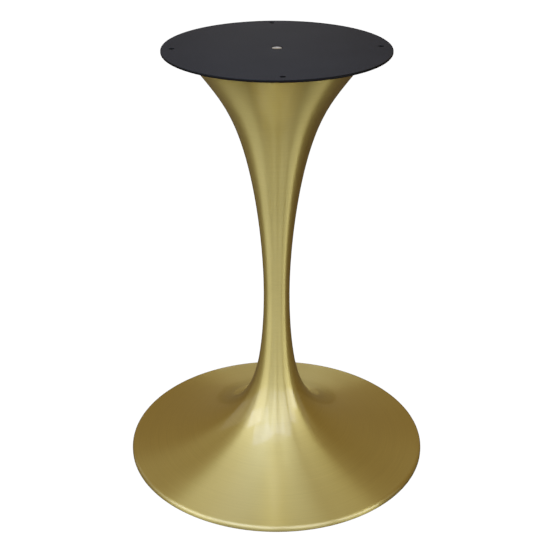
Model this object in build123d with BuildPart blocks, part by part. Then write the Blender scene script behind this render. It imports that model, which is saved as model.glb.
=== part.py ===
"""Trumpet table base: a spun brass-finish pedestal that carries a round steel plate for a tabletop.

The hollow shell stands on a cast-iron weight with a rubber ring under it. A threaded tie rod runs up
the middle, from the weight to the countersunk stud in the plate, and clamps the parts together.
All sizes are in millimetres. The origin is on the floor, on the axis, with +Z up.
"""

from build123d import *

import os
from math import cos, radians, sin

# Overall sizes
total_height = 720.0
foot_radius = 260.0
plate_radius = 177.5
plate_thickness = 4.0

# Outside line of the shell, from its lip near the floor to its mouth under the plate
wall = 2.0
lip_gap = 1.0  # between the lip and the floor
rim_height = 10.0
rim_round = 6.0
foot_slope = 4.0  # in degrees, just inside the rim
foot_pull = 40.0
instep_radius = 22.0
instep_height = 48.0
ankle_radius = 51.0
ankle_height = 110.0
waist_radius = 22.25
waist_height = 300.0
waist_pull_down = 150.0
waist_pull_up = 155.0
shoulder_radius = 58.0
shoulder_drop = 89.0  # below the mouth
mouth_radius = 142.5
mouth_slope = 55.0  # in degrees
mouth_pull = 112.0

# Disc welded into the mouth, and the top plate
disc_thickness = 5.0
disc_hole_clearance = 1.5
plate_round = 1.0
fixing_hole_inset = 17.5  # from the edge of the plate to the middle of each hole
fixing_hole_radius = 4.5
fixing_hole_count = 4

# M8 stud, rod, nuts and washers
thread_radius = 4.0
hole_clearance = 0.5
end_chamfer = 0.8
stud_length = 40.0
stud_head_radius = 7.5
stud_head_dome = 0.5  # height of the low dome on the head
stud_head_land = 0.5  # straight edge of the head, above its cone
stud_head_sink = 0.2  # of the top of the dome below the face of the plate
stud_head_round = 0.3
stud_to_rod_gap = 1.0
nut_across_flats = 13.0
nut_height = 6.5
nut_chamfer = 0.5
coupling_length = 24.0
washer_radius = 12.0
washer_thickness = 2.0
washer_clearance = 0.2
spring_washer_radius = 7.4
spring_washer_thickness = 2.0
spring_washer_split = 1.6
rod_stub = 2.5  # of the rod past its nut

# Cast-iron weight in the foot
weight_thickness = 8.0
weight_edge_round = 1.0
boss_radius = 34.0
boss_height = 18.0  # above the disc of the weight
boss_round = 6.0
recess_radius = 18.0
recess_depth = 14.0

# Rubber ring that stands on the floor
ring_thickness = 3.0
ring_width = 24.0
ring_inset = 8.0  # from the edge of the weight
ring_round = 0.8

# Places that follow from the sizes
mouth_height = total_height - plate_thickness
weight_radius = foot_radius - rim_round
recess_top = ring_thickness + recess_depth
stud_top = total_height - stud_head_sink
stud_tip = stud_top - stud_length
land_top = stud_top - stud_head_dome
cone_top = land_top - stud_head_land
sink_radius = stud_head_radius + total_height - cone_top
rod_top = stud_tip - stud_to_rod_gap
coupling_bottom = (stud_tip + rod_top - coupling_length) / 2
washer_bottom = recess_top - washer_thickness
spring_washer_bottom = washer_bottom - spring_washer_thickness
nut_bottom = spring_washer_bottom - nut_height
rod_bottom = nut_bottom - rod_stub
hole_radius = thread_radius + hole_clearance
washer_hole_radius = thread_radius + washer_clearance


def one_wall_in(curve, points):
    """Control points of the curve that runs one wall inside, to the left of a curve and its points."""
    last = len(points) - 1
    return [
        point + (curve % (place / last)).rotate(Axis.Z, 90) * wall for place, point in enumerate(points)
    ]


def hex_nut(bottom, height):
    """A hexagon nut on the axis, with its corners chamfered at both ends."""
    with BuildPart() as nut:
        with BuildSketch(Plane.XY.offset(bottom)):
            Circle(nut_across_flats / 2 / cos(radians(30)))
        extrude(amount=height)
        chamfer(nut.edges().filter_by(GeomType.CIRCLE), nut_chamfer)
        with BuildSketch(Plane.XY.offset(bottom)):
            RegularPolygon(nut_across_flats / 2, 6, major_radius=False)
            Circle(thread_radius, mode=Mode.SUBTRACT)
        extrude(amount=height, mode=Mode.INTERSECT)
    return nut.part


def flat_ring(bottom, thickness, outer_radius, inner_radius):
    """A flat ring on the axis."""
    with BuildPart() as ring:
        with BuildSketch(Plane.XY.offset(bottom)):
            Circle(outer_radius)
            Circle(inner_radius, mode=Mode.SUBTRACT)
        extrude(amount=thickness)
    return ring.part


# Outside line, drawn flat, with the radius along X and the height along Y:
# up the lip, round the rim, over the foot to the waist, and up the stem to the mouth
rim_centre = Vector(foot_radius - rim_round, rim_height - rim_round)
foot_direction = Vector(-cos(radians(foot_slope)), sin(radians(foot_slope)))
mouth_direction = Vector(cos(radians(mouth_slope)), sin(radians(mouth_slope)))
foot_start = rim_centre + foot_direction.rotate(Axis.Z, -90) * rim_round
waist = Vector(waist_radius, waist_height)
mouth = Vector(mouth_radius, mouth_height)
foot_points = [
    foot_start,
    foot_start + foot_direction * foot_pull,
    Vector(instep_radius, instep_height),
    Vector(ankle_radius, ankle_height),
    waist - Vector(0, waist_pull_down),
    waist,
]
stem_points = [
    waist,
    waist + Vector(0, waist_pull_up),
    Vector(shoulder_radius, mouth_height - shoulder_drop),
    mouth - mouth_direction * mouth_pull,
    mouth,
]
with BuildLine() as outside:
    Line((foot_radius, lip_gap), (foot_radius, rim_centre.Y))
    CenterArc(rim_centre, rim_round, 0, 90 - foot_slope)
    foot = Bezier(*foot_points)
    stem = Bezier(*stem_points)

# Inside line, one wall inside the outside line
with BuildLine() as inside:
    Line((foot_radius - wall, lip_gap), (foot_radius - wall, rim_centre.Y))
    CenterArc(rim_centre, rim_round - wall, 0, 90 - foot_slope)
    Bezier(*one_wall_in(foot, foot_points))
    inner_stem = Bezier(*one_wall_in(stem, stem_points))

# Half section of all that the inside line encloses, down to the floor
with BuildSketch() as hollow:
    with BuildLine():
        add(inside.line)
        Polyline(inner_stem @ 1, (0, (inner_stem @ 1).Y), (0, lip_gap), (foot_radius - wall, lip_gap))
    make_face()

# Shell, cut off level at the mouth
with BuildPart() as trumpet_shell:
    with BuildSketch(Plane.XZ):
        with BuildLine():
            add(outside.line)
            Polyline(mouth, (0, mouth_height), (0, lip_gap), (foot_radius, lip_gap))
        make_face()
        add(hollow.sketch, mode=Mode.SUBTRACT)
    revolve(axis=Axis.Z)

# Steel disc welded into the mouth, with its edge turned to fit the shell
with BuildPart() as mouth_disc:
    with BuildSketch(Plane.XZ):
        with Locations((0, mouth_height)):
            Rectangle(foot_radius, disc_thickness, align=(Align.MIN, Align.MAX))
        add(hollow.sketch, mode=Mode.INTERSECT)
    revolve(axis=Axis.Z)
    with Locations((0, 0, mouth_height)):
        Hole(hole_radius + disc_hole_clearance)

# Top plate, with its fixing holes for the tabletop and a countersunk hole for the stud
with BuildPart() as top_plate:
    with BuildSketch(Plane.XY.offset(mouth_height)):
        Circle(plate_radius)
        with PolarLocations(plate_radius - fixing_hole_inset, fixing_hole_count):
            Circle(fixing_hole_radius, mode=Mode.SUBTRACT)
    extrude(amount=plate_thickness)
    fillet(top_plate.edges().filter_by(GeomType.CIRCLE).group_by(SortBy.RADIUS)[-1], plate_round)
    with Locations((0, 0, total_height)):
        CounterSinkHole(hole_radius, sink_radius, counter_sink_angle=90)

# Countersunk stud, pressed into the plate, with a low dome on its head
with BuildPart() as centre_stud:
    with BuildSketch(Plane.XZ):
        with BuildLine():
            TangentArc((0, stud_top), (stud_head_radius, land_top), tangent=(1, 0))
            Polyline(
                (stud_head_radius, land_top),
                (stud_head_radius, cone_top),
                (thread_radius, cone_top - stud_head_radius + thread_radius),
                (thread_radius, stud_tip),
                (0, stud_tip),
                (0, stud_top),
            )
        make_face()
    revolve(axis=Axis.Z)
    rings = centre_stud.edges().filter_by(GeomType.CIRCLE)
    head_rings = rings.filter_by_position(Axis.Z, land_top - stud_head_land / 2, land_top + stud_head_land / 2)
    fillet(head_rings, stud_head_round)
    chamfer(centre_stud.edges().group_by(Axis.Z)[0], end_chamfer)

# Tie rod
with BuildPart() as tie_rod:
    with BuildSketch(Plane.XY.offset(rod_bottom)):
        Circle(thread_radius)
    extrude(amount=rod_top - rod_bottom)
    chamfer(tie_rod.edges().filter_by(GeomType.CIRCLE), end_chamfer)

# Coupling nut that joins the stud to the rod
with BuildPart() as coupling_nut:
    add(hex_nut(coupling_bottom, coupling_length))

# Weight: a disc that fits up under the foot of the shell, with a boss and a recess for the nut
with BuildPart() as foot_weight:
    with BuildSketch(Plane.XZ):
        with Locations((0, ring_thickness)):
            Rectangle(weight_radius, weight_thickness, align=Align.MIN)
        add(hollow.sketch, mode=Mode.INTERSECT)
        with Locations((0, ring_thickness)):
            Rectangle(boss_radius, weight_thickness + boss_height, align=Align.MIN)
    revolve(axis=Axis.Z)
    fillet(foot_weight.edges().filter_by(GeomType.CIRCLE).group_by(SortBy.RADIUS)[0], boss_round)
    fillet(foot_weight.edges().group_by(Axis.Z)[0], weight_edge_round)
    with BuildSketch(Plane.XY.offset(ring_thickness)):
        Circle(recess_radius)
    extrude(amount=recess_depth, mode=Mode.SUBTRACT)
    Hole(hole_radius)

# Washer, spring washer and nut in the recess
with BuildPart() as washer:
    add(flat_ring(washer_bottom, washer_thickness, washer_radius, washer_hole_radius))

with BuildPart() as spring_washer:
    add(flat_ring(spring_washer_bottom, spring_washer_thickness, spring_washer_radius, washer_hole_radius))
    with Locations((0, 0, spring_washer_bottom)):
        Box(spring_washer_radius, spring_washer_split, spring_washer_thickness,
            align=(Align.MIN, Align.CENTER, Align.MIN), mode=Mode.SUBTRACT)

with BuildPart() as rod_nut:
    add(hex_nut(nut_bottom, nut_height))

# Rubber ring bonded under the weight
with BuildPart() as floor_ring:
    ring_outer_radius = weight_radius - ring_inset
    add(flat_ring(0, ring_thickness, ring_outer_radius, ring_outer_radius - ring_width))
    fillet(floor_ring.edges().group_by(Axis.Z)[0], ring_round)

trumpet_shell.part.label = "trumpet_shell"
mouth_disc.part.label = "mouth_disc"
top_plate.part.label = "top_plate"
centre_stud.part.label = "centre_stud"
tie_rod.part.label = "tie_rod"
coupling_nut.part.label = "coupling_nut"
foot_weight.part.label = "foot_weight"
washer.part.label = "washer"
spring_washer.part.label = "spring_washer"
rod_nut.part.label = "rod_nut"
floor_ring.part.label = "floor_ring"

os.makedirs("parts", exist_ok=True)
export_step(trumpet_shell.part, "parts/trumpet_shell.step")
export_step(mouth_disc.part, "parts/mouth_disc.step")
export_step(top_plate.part, "parts/top_plate.step")
export_step(centre_stud.part, "parts/centre_stud.step")
export_step(tie_rod.part, "parts/tie_rod.step")
export_step(coupling_nut.part, "parts/coupling_nut.step")
export_step(foot_weight.part, "parts/foot_weight.step")
export_step(washer.part, "parts/washer.step")
export_step(spring_washer.part, "parts/spring_washer.step")
export_step(rod_nut.part, "parts/rod_nut.step")
export_step(floor_ring.part, "parts/floor_ring.step")
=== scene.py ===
"""Trumpet table base in a studio: brushed brass shell, black plate, zinc fasteners, iron weight."""

from math import cos, pi, radians, sin, tan

import bpy
from mathutils import Euler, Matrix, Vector


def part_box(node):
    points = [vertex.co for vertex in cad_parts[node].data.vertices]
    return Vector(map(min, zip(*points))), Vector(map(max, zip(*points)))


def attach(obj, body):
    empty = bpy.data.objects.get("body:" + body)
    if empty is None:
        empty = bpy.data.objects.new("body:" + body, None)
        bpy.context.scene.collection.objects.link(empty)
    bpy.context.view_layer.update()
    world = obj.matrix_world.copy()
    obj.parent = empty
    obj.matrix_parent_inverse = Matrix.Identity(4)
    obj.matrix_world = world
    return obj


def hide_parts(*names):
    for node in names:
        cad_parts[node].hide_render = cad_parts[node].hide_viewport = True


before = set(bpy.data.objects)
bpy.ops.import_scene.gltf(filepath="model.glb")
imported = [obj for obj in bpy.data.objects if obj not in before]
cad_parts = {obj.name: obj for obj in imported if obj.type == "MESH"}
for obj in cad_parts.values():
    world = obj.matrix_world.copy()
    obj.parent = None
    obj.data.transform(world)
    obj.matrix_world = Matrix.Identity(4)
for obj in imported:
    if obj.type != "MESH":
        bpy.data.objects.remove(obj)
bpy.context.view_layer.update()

# Sizes of the shell, in metres, with the same outline as the CAD shell; points are (radius, height)
shell_low, shell_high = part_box("trumpet_shell")
foot_radius = 0.260
wall = 0.002
rim_height = 0.010
rim_round = 0.006
foot_slope = radians(4)
foot_pull = 0.040
instep = (0.022, 0.048)
ankle = (0.051, 0.110)
waist_radius = 0.02225
waist_height = 0.300
waist_pull_down = 0.150
waist_pull_up = 0.155
shoulder_radius = 0.058
shoulder_drop = 0.089
mouth_radius = 0.1425
mouth_slope = radians(55)
mouth_pull = 0.112
mouth_height = shell_high.z

# How finely the shell is drawn, and how near two of its points are before they become one
steps_around = 224
steps_along = {"lip": 3, "rim": 9, "foot": 72, "stem": 64}
merge_distance = 1e-6

# Sizes of the tie rod, in metres, and how finely it is drawn
rod_radius = 0.004
thread_pitch = 0.00125
thread_depth = 0.0006
threaded_length = 0.030
rod_sides = 32
steps_in_a_turn = 24
ridge_corners = 4

# A noise texture lies mostly between these two values
noise_low = 0.3
noise_high = 0.7

# The plate's painted top sheen: its top face turns from the near-black painted shade of the sides to
# grey between these depths under its top, in metres
painted_sheen_starts = 0.0003
painted_sheen_is_full = 0.0001

# Studio: distances in metres, brightness in linear light
floor_half_width = 6.0
floor_colour = (0.10, 0.08, 0.045)
white = (1, 1, 1)
backdrop_brightness = 2.2
room_brightness = 0.27
room_colour = (1.39, 1.0, 0.52)

# Soft boxes stand this far from a point this high on the axis, and get bluer the higher they stand
light_distance = 2.2
light_aim = 0.35
low_light_colour = Vector((0.98, 1.0, 0.95))
high_light_colour = Vector((0.85, 1.0, 1.50))
high_light_elevation = 60

# Each soft box: its name, degrees from the front towards the right, degrees up, width and height in
# metres, and watts for each square metre
soft_boxes = (
    ("front_left_outer", -24, 33, 0.50, 2.60, 5.4),
    ("front_left_inner", -10, 33, 0.50, 2.60, 9.5),
    ("front_middle", 0, 33, 0.30, 2.60, 2.0),
    ("front_right_inner", 10.5, 33, 0.50, 2.60, 7.5),
    ("front_right_outer", 26, 33, 0.68, 2.60, 9.0),
    ("front_overhead", -10, 62, 1.60, 0.90, 3.2),
    ("right_thin", 42.5, 33, 0.17, 2.60, 6.0),
    ("right_strip", 48.5, 20, 0.57, 1.80, 10.3),
    ("right_outer", 60, 20, 0.40, 1.80, 3.0),
    ("right_edge", 62, 8, 0.60, 0.90, 17.0),
    ("right_side", 85, 20, 0.60, 1.80, 0.9),
    ("left_gap", -35, 33, 0.19, 2.60, 4.6),
    ("left_low", -63, 8, 1.55, 0.90, 8.0),
    ("left_middle_inner", -46, 32, 0.95, 0.90, 11.8),
    ("left_middle_outer", -72, 32, 0.95, 0.90, 17.6),
    ("left_high", -50, 58, 1.15, 0.90, 11.5),
    ("left_side", -88, 20, 0.60, 1.80, 2.9),
    ("back_left", -110, 15, 1.60, 1.20, 1.7),
    ("back_low", 178, 16, 0.52, 0.50, 3.8),
)

# Film curve: scene light as a share of film_white, and how light the film shows it; the curve for
# all colours together comes after those for red, green and blue
film_white = 2.0
film_points = ((0.125, 0.212), (0.25, 0.375), (0.50, 0.625), (0.75, 0.825))
curve_of_all_colours = 3


# Helpers for node trees


def feed(tree, socket, value):
    """Links an input to an output, or sets it to a plain value or a colour of three numbers."""
    if isinstance(value, bpy.types.NodeSocket):
        tree.links.new(value, socket)
    elif socket.type == "RGBA":
        socket.default_value = (*value, 1)
    else:
        socket.default_value = value


def add_node(tree, kind, inputs=None, **settings):
    """Adds a node, sets its options, and then feeds its named inputs."""
    node = tree.nodes.new(kind)
    for name, value in settings.items():
        setattr(node, name, value)
    for name, value in (inputs or {}).items():
        feed(tree, node.inputs[name], value)
    return node


def calculate(tree, operation, first, second):
    """A Math node on two values, each an output or a number; gives its output."""
    node = add_node(tree, "ShaderNodeMath", operation=operation)
    for socket, value in zip(node.inputs, (first, second)):
        feed(tree, socket, value)
    return node.outputs["Value"]


def new_geometry_tree(name, sockets):
    """A Geometry Nodes tree that makes geometry from named inputs; gives it and the inputs' values."""
    tree = bpy.data.node_groups.new(name, "GeometryNodeTree")
    tree.interface.new_socket("Geometry", in_out="OUTPUT", socket_type="NodeSocketGeometry")
    for socket_name, socket_type in sockets.items():
        tree.interface.new_socket(socket_name, in_out="INPUT", socket_type=socket_type)
    return tree, add_node(tree, "NodeGroupInput").outputs


def finish_tree(tree, geometry, material):
    """Ends a tree with real faces and its material."""
    real = add_node(tree, "GeometryNodeRealizeInstances", {"Geometry": geometry})
    painted = add_node(
        tree,
        "GeometryNodeSetMaterial",
        {"Geometry": real.outputs["Geometry"], "Material": material},
    )
    add_node(tree, "NodeGroupOutput", {"Geometry": painted.outputs["Geometry"]})


def grow(name, tree, values, thickness=0.0):
    """Runs a tree on an empty mesh and keeps the result as a plain mesh object."""
    holder = bpy.data.objects.new(name + "_holder", bpy.data.meshes.new(name + "_holder"))
    bpy.context.scene.collection.objects.link(holder)
    modifier = holder.modifiers.new("shape", "NODES")
    modifier.node_group = tree
    for item in tree.interface.items_tree:
        if item.item_type == "SOCKET" and item.in_out == "INPUT":
            modifier[item.identifier] = values[item.name]
    if thickness:
        solidify = holder.modifiers.new("wall", "SOLIDIFY")
        solidify.thickness = thickness
        solidify.offset = -1
        solidify.use_even_offset = True
    bpy.context.view_layer.update()
    evaluated = holder.evaluated_get(bpy.context.evaluated_depsgraph_get())
    mesh = bpy.data.meshes.new_from_object(evaluated)
    mesh.name = name
    bpy.data.objects.remove(holder)
    piece = bpy.data.objects.new(name, mesh)
    bpy.context.scene.collection.objects.link(piece)
    return piece


# Shell: a profile of curves, turned round the axis

shell_stretches = {
    "lip": ("Lip End", "Lip Top"),
    "rim": ("Lip Top", "Rim Side", "Rim Over", "Rim Top"),
    "foot": ("Rim Top", "Foot Pull", "Instep", "Ankle", "Below Waist", "Waist"),
    "stem": ("Waist", "Above Waist", "Shoulder", "Below Mouth", "Mouth"),
}


def shell_points():
    """Control points of the shell's profile: radius along X, height along Z."""
    start_radius = foot_radius - rim_round + rim_round * sin(foot_slope)
    start_height = rim_height - rim_round + rim_round * cos(foot_slope)
    # Handle length that makes a cubic curve follow the rim's arc
    handle = 4 / 3 * tan((pi / 2 - foot_slope) / 4) * rim_round
    foot_way = Vector((-cos(foot_slope), 0, sin(foot_slope)))
    mouth_way = Vector((cos(mouth_slope), 0, sin(mouth_slope)))
    lip_top = Vector((foot_radius, 0, rim_height - rim_round))
    rim_top = Vector((start_radius, 0, start_height))
    waist = Vector((waist_radius, 0, waist_height))
    mouth = Vector((mouth_radius, 0, mouth_height))
    return {
        "Lip End": Vector((foot_radius, 0, shell_low.z)),
        "Lip Top": lip_top,
        "Rim Side": lip_top + Vector((0, 0, handle)),
        "Rim Over": rim_top - foot_way * handle,
        "Rim Top": rim_top,
        "Foot Pull": rim_top + foot_way * foot_pull,
        "Instep": Vector((instep[0], 0, instep[1])),
        "Ankle": Vector((ankle[0], 0, ankle[1])),
        "Below Waist": waist - Vector((0, 0, waist_pull_down)),
        "Waist": waist,
        "Above Waist": waist + Vector((0, 0, waist_pull_up)),
        "Shoulder": Vector((shoulder_radius, 0, mouth_height - shoulder_drop)),
        "Below Mouth": mouth - mouth_way * mouth_pull,
        "Mouth": mouth,
    }


def ladder_curve(tree, factor, points):
    """A point on the Bezier curve of some control points, by mixing neighbours until one is left."""
    while len(points) > 1:
        mixed = []
        for near, far in zip(points, points[1:]):
            mix = add_node(
                tree, "ShaderNodeMix", {"Factor": factor, "A": near, "B": far}, data_type="VECTOR"
            )
            mixed.append(mix.outputs["Result"])
        points = mixed
    return points[0]


def turned_stretch(tree, points, along, around):
    """A grid laid along a curve and turned once round the axis, with its own UV map."""
    grid = add_node(tree, "GeometryNodeMeshGrid", {"Vertices X": along, "Vertices Y": around})
    place = add_node(tree, "GeometryNodeInputPosition")
    parts = add_node(tree, "ShaderNodeSeparateXYZ", {"Vector": place.outputs["Position"]})
    # The grid reaches half a metre each way, so X becomes 0 to 1 and Y one whole turn
    factor = calculate(tree, "ADD", parts.outputs["X"], 0.5)
    turn = calculate(tree, "MULTIPLY", parts.outputs["Y"], 2 * pi)
    spin = add_node(
        tree,
        "ShaderNodeVectorRotate",
        {"Vector": ladder_curve(tree, factor, points), "Angle": turn},
        rotation_type="Z_AXIS",
    )
    move = add_node(
        tree,
        "GeometryNodeSetPosition",
        {"Geometry": grid.outputs["Mesh"], "Position": spin.outputs["Vector"]},
    )
    store = add_node(
        tree,
        "GeometryNodeStoreNamedAttribute",
        {"Geometry": move.outputs["Geometry"], "Name": "UVMap", "Value": grid.outputs["UV Map"]},
        data_type="FLOAT2",
        domain="CORNER",
    )
    return store.outputs["Geometry"]


def make_shell(brass):
    """The spun shell, with smooth faces and a wall as thick as the CAD shell's."""
    points = shell_points()
    sockets = {name: "NodeSocketVector" for name in points}
    sockets["Steps Around"] = "NodeSocketInt"
    sockets["Material"] = "NodeSocketMaterial"
    tree, value = new_geometry_tree("turned shell", sockets)
    whole = add_node(tree, "GeometryNodeJoinGeometry")
    for stretch, names in shell_stretches.items():
        corners = [value[name] for name in names]
        faces = turned_stretch(tree, corners, steps_along[stretch], value["Steps Around"])
        feed(tree, whole.inputs["Geometry"], faces)
    merge = add_node(
        tree,
        "GeometryNodeMergeByDistance",
        {"Geometry": whole.outputs["Geometry"], "Distance": merge_distance},
    )
    outwards = add_node(tree, "GeometryNodeFlipFaces", {"Mesh": merge.outputs["Geometry"]})
    smooth = add_node(tree, "GeometryNodeSetShadeSmooth", {"Geometry": outwards.outputs["Mesh"]})
    finish_tree(tree, smooth.outputs["Geometry"], value["Material"])
    values = {name: list(point) for name, point in points.items()}
    values["Steps Around"] = steps_around
    values["Material"] = brass
    shell = grow("trumpet", tree, values, thickness=wall)
    # The inner edge of the wall ends level with the mouth
    for vertex in shell.data.vertices:
        vertex.co.z = min(vertex.co.z, mouth_height)
    return shell


# Tie rod: a plain rod with a rolled thread at each end


def lift(tree, geometry, height):
    """Geometry moved up the axis."""
    offset = add_node(tree, "ShaderNodeCombineXYZ", {"Z": height})
    move = add_node(
        tree,
        "GeometryNodeTransform",
        {"Geometry": geometry, "Translation": offset.outputs["Vector"]},
    )
    return move.outputs["Geometry"]


def make_rod(zinc):
    """The tie rod, with a helical ridge on both threaded ends."""
    low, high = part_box("tie_rod")
    sizes = {
        "Bottom": low.z,
        "Top": high.z,
        "Radius": rod_radius,
        "Thread Depth": thread_depth,
        "Thread Pitch": thread_pitch,
        "Threaded Length": threaded_length,
    }
    sockets = {name: "NodeSocketFloat" for name in sizes}
    sockets["Material"] = "NodeSocketMaterial"
    tree, value = new_geometry_tree("threaded rod", sockets)
    whole = add_node(tree, "GeometryNodeJoinGeometry")
    core_radius = calculate(tree, "SUBTRACT", value["Radius"], value["Thread Depth"])
    plain_bottom = calculate(tree, "ADD", value["Bottom"], value["Threaded Length"])
    plain_top = calculate(tree, "SUBTRACT", value["Top"], value["Threaded Length"])
    for bottom, top, radius in (
        (value["Bottom"], plain_bottom, core_radius),
        (plain_bottom, plain_top, value["Radius"]),
        (plain_top, value["Top"], core_radius),
    ):
        length = calculate(tree, "SUBTRACT", top, bottom)
        both_ends = calculate(tree, "ADD", bottom, top)
        middle = calculate(tree, "MULTIPLY", both_ends, 0.5)
        bar = add_node(
            tree,
            "GeometryNodeMeshCylinder",
            {"Vertices": rod_sides, "Radius": radius, "Depth": length},
        )
        feed(tree, whole.inputs["Geometry"], lift(tree, bar.outputs["Mesh"], middle))
    turns = calculate(tree, "DIVIDE", value["Threaded Length"], value["Thread Pitch"])
    half_depth = calculate(tree, "MULTIPLY", value["Thread Depth"], 0.5)
    ridge_radius = calculate(tree, "SUBTRACT", value["Radius"], half_depth)
    ridge_length = calculate(tree, "SUBTRACT", value["Threaded Length"], value["Thread Depth"])
    ridge = add_node(
        tree,
        "GeometryNodeCurvePrimitiveCircle",
        {"Resolution": ridge_corners, "Radius": half_depth},
    )
    for end in (value["Bottom"], plain_top):
        bottom = calculate(tree, "ADD", end, half_depth)
        helix = add_node(
            tree,
            "GeometryNodeCurveSpiral",
            {
                "Resolution": steps_in_a_turn,
                "Rotations": turns,
                "Start Radius": ridge_radius,
                "End Radius": ridge_radius,
                "Height": ridge_length,
            },
        )
        sweep = add_node(
            tree,
            "GeometryNodeCurveToMesh",
            {
                "Curve": helix.outputs["Curve"],
                "Profile Curve": ridge.outputs["Curve"],
                "Fill Caps": True,
            },
        )
        feed(tree, whole.inputs["Geometry"], lift(tree, sweep.outputs["Mesh"], bottom))
    finish_tree(tree, whole.outputs["Geometry"], value["Material"])
    return grow("threaded_rod", tree, {**sizes, "Material": zinc})


# Shader groups for the effects that several finishes share


def new_shader_group(name, inputs, outputs):
    """A shader node group with named inputs and outputs; gives it and the inputs' values."""
    tree = bpy.data.node_groups.new(name, "ShaderNodeTree")
    for socket_name, default in inputs.items():
        socket = tree.interface.new_socket(
            socket_name, in_out="INPUT", socket_type="NodeSocketFloat"
        )
        socket.default_value = default
    for socket_name in outputs:
        tree.interface.new_socket(socket_name, in_out="OUTPUT", socket_type="NodeSocketFloat")
    return tree, add_node(tree, "NodeGroupInput").outputs


def turned_grain_group():
    """Fine lines that run round the axis, as a brush or a lathe leaves them, and broad patches."""
    tree, value = new_shader_group(
        "turned grain", {"Line Width": 0.001, "Length Round Axis": 0.5}, ("Line", "Patch")
    )
    place = add_node(tree, "ShaderNodeTexCoord").outputs["Object"]
    parts = add_node(tree, "ShaderNodeSeparateXYZ", {"Vector": place})
    x, y, z = (parts.outputs[axis] for axis in "XYZ")
    x_squared = calculate(tree, "MULTIPLY", x, x)
    y_squared = calculate(tree, "MULTIPLY", y, y)
    radius_squared = calculate(tree, "ADD", x_squared, y_squared)
    true_radius = calculate(tree, "POWER", radius_squared, 0.5)
    # On the axis itself the radius is kept above nought, because it divides
    least_radius = 1e-6
    radius = calculate(tree, "MAXIMUM", true_radius, least_radius)
    # The pattern changes slowly round the axis, and fast with the radius and the height
    turning = calculate(tree, "DIVIDE", 1.0, value["Length Round Axis"])
    fine_radius = calculate(tree, "DIVIDE", radius, value["Line Width"])
    fine_height = calculate(tree, "DIVIDE", z, value["Line Width"])
    slow_x = calculate(tree, "MULTIPLY", calculate(tree, "DIVIDE", x, radius), turning)
    slow_y = calculate(tree, "MULTIPLY", calculate(tree, "DIVIDE", y, radius), turning)
    spot = add_node(tree, "ShaderNodeCombineXYZ", {"X": slow_x, "Y": slow_y, "Z": fine_radius})
    lines = add_node(
        tree,
        "ShaderNodeTexNoise",
        {
            "Vector": spot.outputs["Vector"],
            "W": fine_height,
            "Scale": 1.0,
            "Detail": 3.0,
            "Roughness": 0.6,
        },
        noise_dimensions="4D",
    )
    patches = add_node(tree, "ShaderNodeTexNoise", {"Vector": place, "Scale": 9.0, "Detail": 3.0})
    patterns = {"Line": lines.outputs["Fac"], "Patch": patches.outputs["Fac"]}
    add_node(tree, "NodeGroupOutput", patterns)
    return tree


def skin_grain_group():
    """A pebbled skin: fine bumps on broad patches, for paint, rolled or cast metal, and rubber."""
    tree, value = new_shader_group(
        "skin grain", {"Pebble Size": 0.001, "Patch Size": 0.05}, ("Pebble", "Patch")
    )
    place = add_node(tree, "ShaderNodeTexCoord").outputs["Object"]
    patterns = {}
    for pattern, detail in (("Pebble", 2.0), ("Patch", 4.0)):
        scale = calculate(tree, "DIVIDE", 1.0, value[pattern + " Size"])
        noise = add_node(
            tree, "ShaderNodeTexNoise", {"Vector": place, "Scale": scale, "Detail": detail}
        )
        patterns[pattern] = noise.outputs["Fac"]
    add_node(tree, "NodeGroupOutput", patterns)
    return tree


turned_grain = turned_grain_group()
skin_grain = skin_grain_group()


# Finishes


def new_finish(name, fixed):
    """A material with a Principled BSDF whose fixed values are set on its own sockets."""
    material = bpy.data.materials.new(name)
    material.use_nodes = True
    shader = material.node_tree.nodes["Principled BSDF"]
    for socket, value in fixed.items():
        feed(material.node_tree, shader.inputs[socket], value)
    return material, material.node_tree, shader


def add_group(tree, group, inputs):
    """A group in a material, with its inputs set; gives the group's outputs."""
    return add_node(tree, "ShaderNodeGroup", inputs, node_tree=group).outputs


def spread(tree, pattern, low, high):
    """A value that follows a pattern of noise from one limit to another."""
    limits = add_node(
        tree,
        "ShaderNodeMapRange",
        {
            "Value": pattern,
            "From Min": noise_low,
            "From Max": noise_high,
            "To Min": low,
            "To Max": high,
        },
    )
    return limits.outputs["Result"]


def mix_colours(tree, factor, dark, light):
    """A colour between two, by a value that changes over the surface."""
    mix = add_node(
        tree, "ShaderNodeMix", {"Factor": factor, "A": dark, "B": light}, data_type="RGBA"
    )
    return mix.outputs["Result"]


def dress_shader(tree, shader, colour, roughness, bump, bump_depth):
    """Gives a shader its colour, its roughness, and a bump with a real depth in metres."""
    surface = add_node(tree, "ShaderNodeBump", {"Height": bump, "Distance": bump_depth})
    feed(tree, shader.inputs["Base Color"], colour)
    feed(tree, shader.inputs["Roughness"], roughness)
    feed(tree, shader.inputs["Normal"], surface.outputs["Normal"])


def brushed_brass():
    """Brass brushed round the axis, under a thin lacquer."""
    material, tree, shader = new_finish(
        "brushed brass",
        {
            "Metallic": 1.0,
            "Anisotropic": 0.97,
            "Coat Weight": 0.8,
            "Coat Roughness": 0.1,
            "Coat IOR": 1.5,
        },
    )
    grain = add_group(tree, turned_grain, {"Line Width": 0.0006, "Length Round Axis": 0.6})
    tangent = add_node(tree, "ShaderNodeTangent", direction_type="UV_MAP", uv_map="UVMap")
    feed(tree, shader.inputs["Tangent"], tangent.outputs["Tangent"])
    shade = spread(tree, grain["Line"], low=0, high=1)
    dress_shader(
        tree,
        shader,
        colour=mix_colours(tree, shade, dark=(0.62, 0.505, 0.16), light=(0.70, 0.57, 0.18)),
        roughness=spread(tree, grain["Patch"], low=0.38, high=0.42),
        bump=grain["Line"],
        bump_depth=0.000003,
    )
    return material


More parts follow.
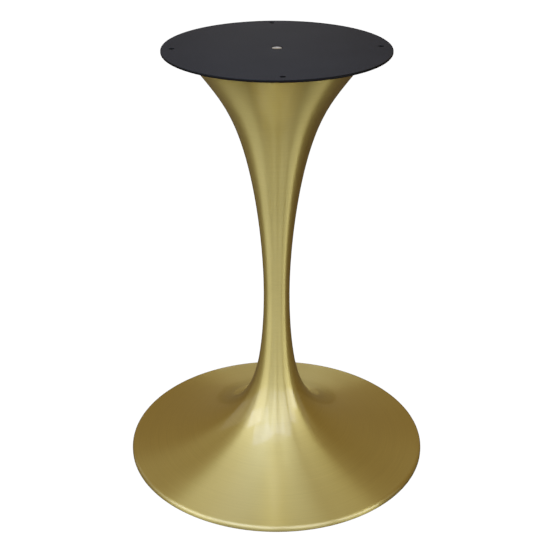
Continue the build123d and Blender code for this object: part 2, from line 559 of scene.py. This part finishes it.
def black_powder_coat():
    """Black powder coat with a fine orange-peel skin; the top face has a painted grey sheen and the
    sides a near-black painted shade.
    """
    material, tree, shader = new_finish("black powder coat", {"Specular IOR Level": 0.1})
    grain = add_group(tree, skin_grain, {"Pebble Size": 0.0009, "Patch Size": 0.06})
    shade = spread(tree, grain["Patch"], low=0, high=1)
    # The grey is a painted sheen for the top face, over random patches of tone
    painted_sheen_grey = mix_colours(tree, shade, dark=(0.011, 0.014, 0.0185), light=(0.013, 0.016, 0.0205))
    plate_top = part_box("top_plate")[1].z
    place = add_node(tree, "ShaderNodeTexCoord")
    parts = add_node(tree, "ShaderNodeSeparateXYZ", {"Vector": place.outputs["Object"]})
    # Mask of the painted sheen: grey on the top face, near-black painted shade on the sides and
    # underside
    painted_top_sheen = add_node(
        tree,
        "ShaderNodeMapRange",
        {
            "Value": parts.outputs["Z"],
            "From Min": plate_top - painted_sheen_starts,
            "From Max": plate_top - painted_sheen_is_full,
        },
    )
    # The sides take the near-black painted shade and the top face the painted grey sheen
    dress_shader(
        tree,
        shader,
        colour=mix_colours(
            tree, painted_top_sheen.outputs["Result"], dark=(0.0015, 0.0014, 0.0014), light=painted_sheen_grey
        ),
        roughness=spread(tree, grain["Pebble"], low=0.52, high=0.60),
        bump=grain["Pebble"],
        bump_depth=0.00003,
    )
    return material


def bright_zinc():
    """Bright zinc plating over turned steel, with a slight blue tint."""
    material, tree, shader = new_finish("bright zinc", {"Metallic": 1.0, "Anisotropic": 0.3})
    grain = add_group(tree, turned_grain, {"Line Width": 0.00025, "Length Round Axis": 0.8})
    shade = spread(tree, grain["Line"], low=0, high=1)
    dress_shader(
        tree,
        shader,
        colour=mix_colours(tree, shade, dark=(0.72, 0.78, 0.88), light=(0.80, 0.86, 0.96)),
        roughness=spread(tree, grain["Line"], low=0.24, high=0.32),
        bump=grain["Line"],
        bump_depth=0.000004,
    )
    return material


def bare_steel():
    """Bare mild steel, dull from the rolling mill."""
    material, tree, shader = new_finish("bare steel", {"Metallic": 1.0})
    grain = add_group(tree, skin_grain, {"Pebble Size": 0.0006, "Patch Size": 0.03})
    shade = spread(tree, grain["Patch"], low=0, high=1)
    dress_shader(
        tree,
        shader,
        colour=mix_colours(tree, shade, dark=(0.24, 0.24, 0.25), light=(0.36, 0.36, 0.37)),
        roughness=spread(tree, grain["Patch"], low=0.45, high=0.60),
        bump=grain["Pebble"],
        bump_depth=0.00002,
    )
    return material


def primed_iron():
    """Sand-cast iron under a coat of black primer."""
    material, tree, shader = new_finish("primed iron", {"Specular IOR Level": 0.4})
    grain = add_group(tree, skin_grain, {"Pebble Size": 0.0022, "Patch Size": 0.08})
    shade = spread(tree, grain["Patch"], low=0, high=1)
    dress_shader(
        tree,
        shader,
        colour=mix_colours(tree, shade, dark=(0.022, 0.022, 0.023), light=(0.040, 0.039, 0.038)),
        roughness=spread(tree, grain["Pebble"], low=0.55, high=0.72),
        bump=grain["Pebble"],
        bump_depth=0.0004,
    )
    return material


def black_rubber():
    """Matte moulded rubber."""
    material, tree, shader = new_finish("black rubber", {"Specular IOR Level": 0.35})
    grain = add_group(tree, skin_grain, {"Pebble Size": 0.0007, "Patch Size": 0.04})
    shade = spread(tree, grain["Patch"], low=0, high=1)
    dress_shader(
        tree,
        shader,
        colour=mix_colours(tree, shade, dark=(0.014, 0.014, 0.014), light=(0.024, 0.024, 0.023)),
        roughness=spread(tree, grain["Patch"], low=0.70, high=0.85),
        bump=grain["Pebble"],
        bump_depth=0.00005,
    )
    return material


# Object


def finish_node(name, material):
    """Gives a CAD node one material."""
    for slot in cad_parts[name].material_slots:
        slot.link = "OBJECT"
        slot.material = material


def dress_object():
    """Puts the shell and the rod on the frame and finishes every CAD node."""
    brass = brushed_brass()
    zinc = bright_zinc()
    shell = make_shell(brass)
    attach(shell, "root")
    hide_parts("trumpet_shell")
    rod = make_rod(zinc)
    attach(rod, "root")
    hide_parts("tie_rod")
    finish_node("trumpet_shell", brass)
    finish_node("top_plate", black_powder_coat())
    finish_node("mouth_disc", bare_steel())
    finish_node("foot_weight", primed_iron())
    finish_node("floor_ring", black_rubber())
    for name in ("centre_stud", "coupling_nut", "tie_rod", "washer", "spring_washer", "rod_nut"):
        finish_node(name, zinc)


# Studio


def mix_shaders(tree, factor, off, on):
    """One shader where the factor is 0 and another where it is 1; gives the mix."""
    mix = add_node(tree, "ShaderNodeMixShader")
    for socket, value in zip(mix.inputs, (factor, off, on)):
        feed(tree, socket, value)
    return mix.outputs["Shader"]


def make_floor():
    """A floor that looks as bright as the backdrop, lights the object little and is clear from below."""
    half = floor_half_width
    corners = [(-half, -half, 0), (half, -half, 0), (half, half, 0), (-half, half, 0)]
    mesh = bpy.data.meshes.new("studio_floor")
    mesh.from_pydata(corners, [], [(0, 1, 2, 3)])
    floor = bpy.data.objects.new("studio_floor", mesh)
    bpy.context.scene.collection.objects.link(floor)
    material, tree, shader = new_finish(
        "pale floor", {"Base Color": floor_colour, "Roughness": 0.8, "Specular IOR Level": 0.2}
    )
    path = add_node(tree, "ShaderNodeLightPath")
    geometry = add_node(tree, "ShaderNodeNewGeometry")
    clear = add_node(tree, "ShaderNodeBsdfTransparent")
    glow = add_node(
        tree, "ShaderNodeEmission", {"Color": white, "Strength": backdrop_brightness}
    )
    from_above = mix_shaders(
        tree,
        path.outputs["Is Camera Ray"],
        off=shader.outputs["BSDF"],
        on=glow.outputs["Emission"],
    )
    either_side = mix_shaders(
        tree, geometry.outputs["Backfacing"], off=from_above, on=clear.outputs["BSDF"]
    )
    feed(tree, tree.nodes["Material Output"].inputs["Surface"], either_side)
    mesh.materials.append(material)


def make_world():
    """A white backdrop for the camera, and a dim warm room for light and reflections."""
    world = bpy.data.worlds.new("studio")
    bpy.context.scene.world = world
    world.use_nodes = True
    tree = world.node_tree
    tree.nodes.clear()
    path = add_node(tree, "ShaderNodeLightPath")
    backdrop = add_node(
        tree, "ShaderNodeBackground", {"Color": white, "Strength": backdrop_brightness}
    )
    room = add_node(
        tree, "ShaderNodeBackground", {"Color": room_colour, "Strength": room_brightness}
    )
    surroundings = mix_shaders(
        tree,
        path.outputs["Is Camera Ray"],
        off=room.outputs["Background"],
        on=backdrop.outputs["Background"],
    )
    add_node(tree, "ShaderNodeOutputWorld", {"Surface": surroundings})


def add_soft_box(name, azimuth, elevation, width, height, strength):
    """A soft box that faces the object and that the camera doesn't see."""
    light = bpy.data.lights.new(name, "AREA")
    light.shape = "RECTANGLE"
    light.size = width
    light.size_y = height
    light.energy = strength * width * height
    light.color = low_light_colour.lerp(high_light_colour, elevation / high_light_elevation)
    lamp = bpy.data.objects.new(name, light)
    around = radians(azimuth)
    up = radians(elevation)
    offset = Vector((sin(around) * cos(up), -cos(around) * cos(up), sin(up)))
    lamp.location = Vector((0, 0, light_aim)) + offset * light_distance
    lamp.rotation_euler = offset.to_track_quat("Z", "Y").to_euler()
    lamp.visible_camera = False
    bpy.context.scene.collection.objects.link(lamp)


def make_camera():
    """The camera that took the photograph, as worked out from the plate and the foot."""
    sensor = 36.0
    image_width = 550
    focal_length = 1078.6  # in pixels of the image
    distance = 1.6273
    height = 1.1400
    azimuth = radians(-3.0)
    yaw = radians(0.1)
    tilt = radians(26.387)
    camera = bpy.data.cameras.new("camera")
    camera.sensor_width = sensor
    camera.lens = focal_length / image_width * sensor
    viewer = bpy.data.objects.new("camera", camera)
    viewer.location = (distance * sin(azimuth), -distance * cos(azimuth), height)
    viewer.rotation_euler = Euler((pi / 2 - tilt, 0, azimuth + yaw))
    bpy.context.scene.collection.objects.link(viewer)
    bpy.context.scene.camera = viewer


def use_film_curve():
    """Softens the highlights as film does, so that bright brass turns pale and doesn't burn out."""
    view = bpy.context.scene.view_settings
    view.view_transform = "Standard"
    view.use_curve_mapping = True
    view.curve_mapping.white_level = (film_white, film_white, film_white)
    film = view.curve_mapping.curves[curve_of_all_colours]
    for light, shown in film_points:
        film.points.new(light, shown)
    view.curve_mapping.update()


def make_studio():
    """Floor, backdrop, lights and camera."""
    make_floor()
    make_world()
    for soft_box in soft_boxes:
        add_soft_box(*soft_box)
    make_camera()
    use_film_curve()


dress_object()
make_studio()
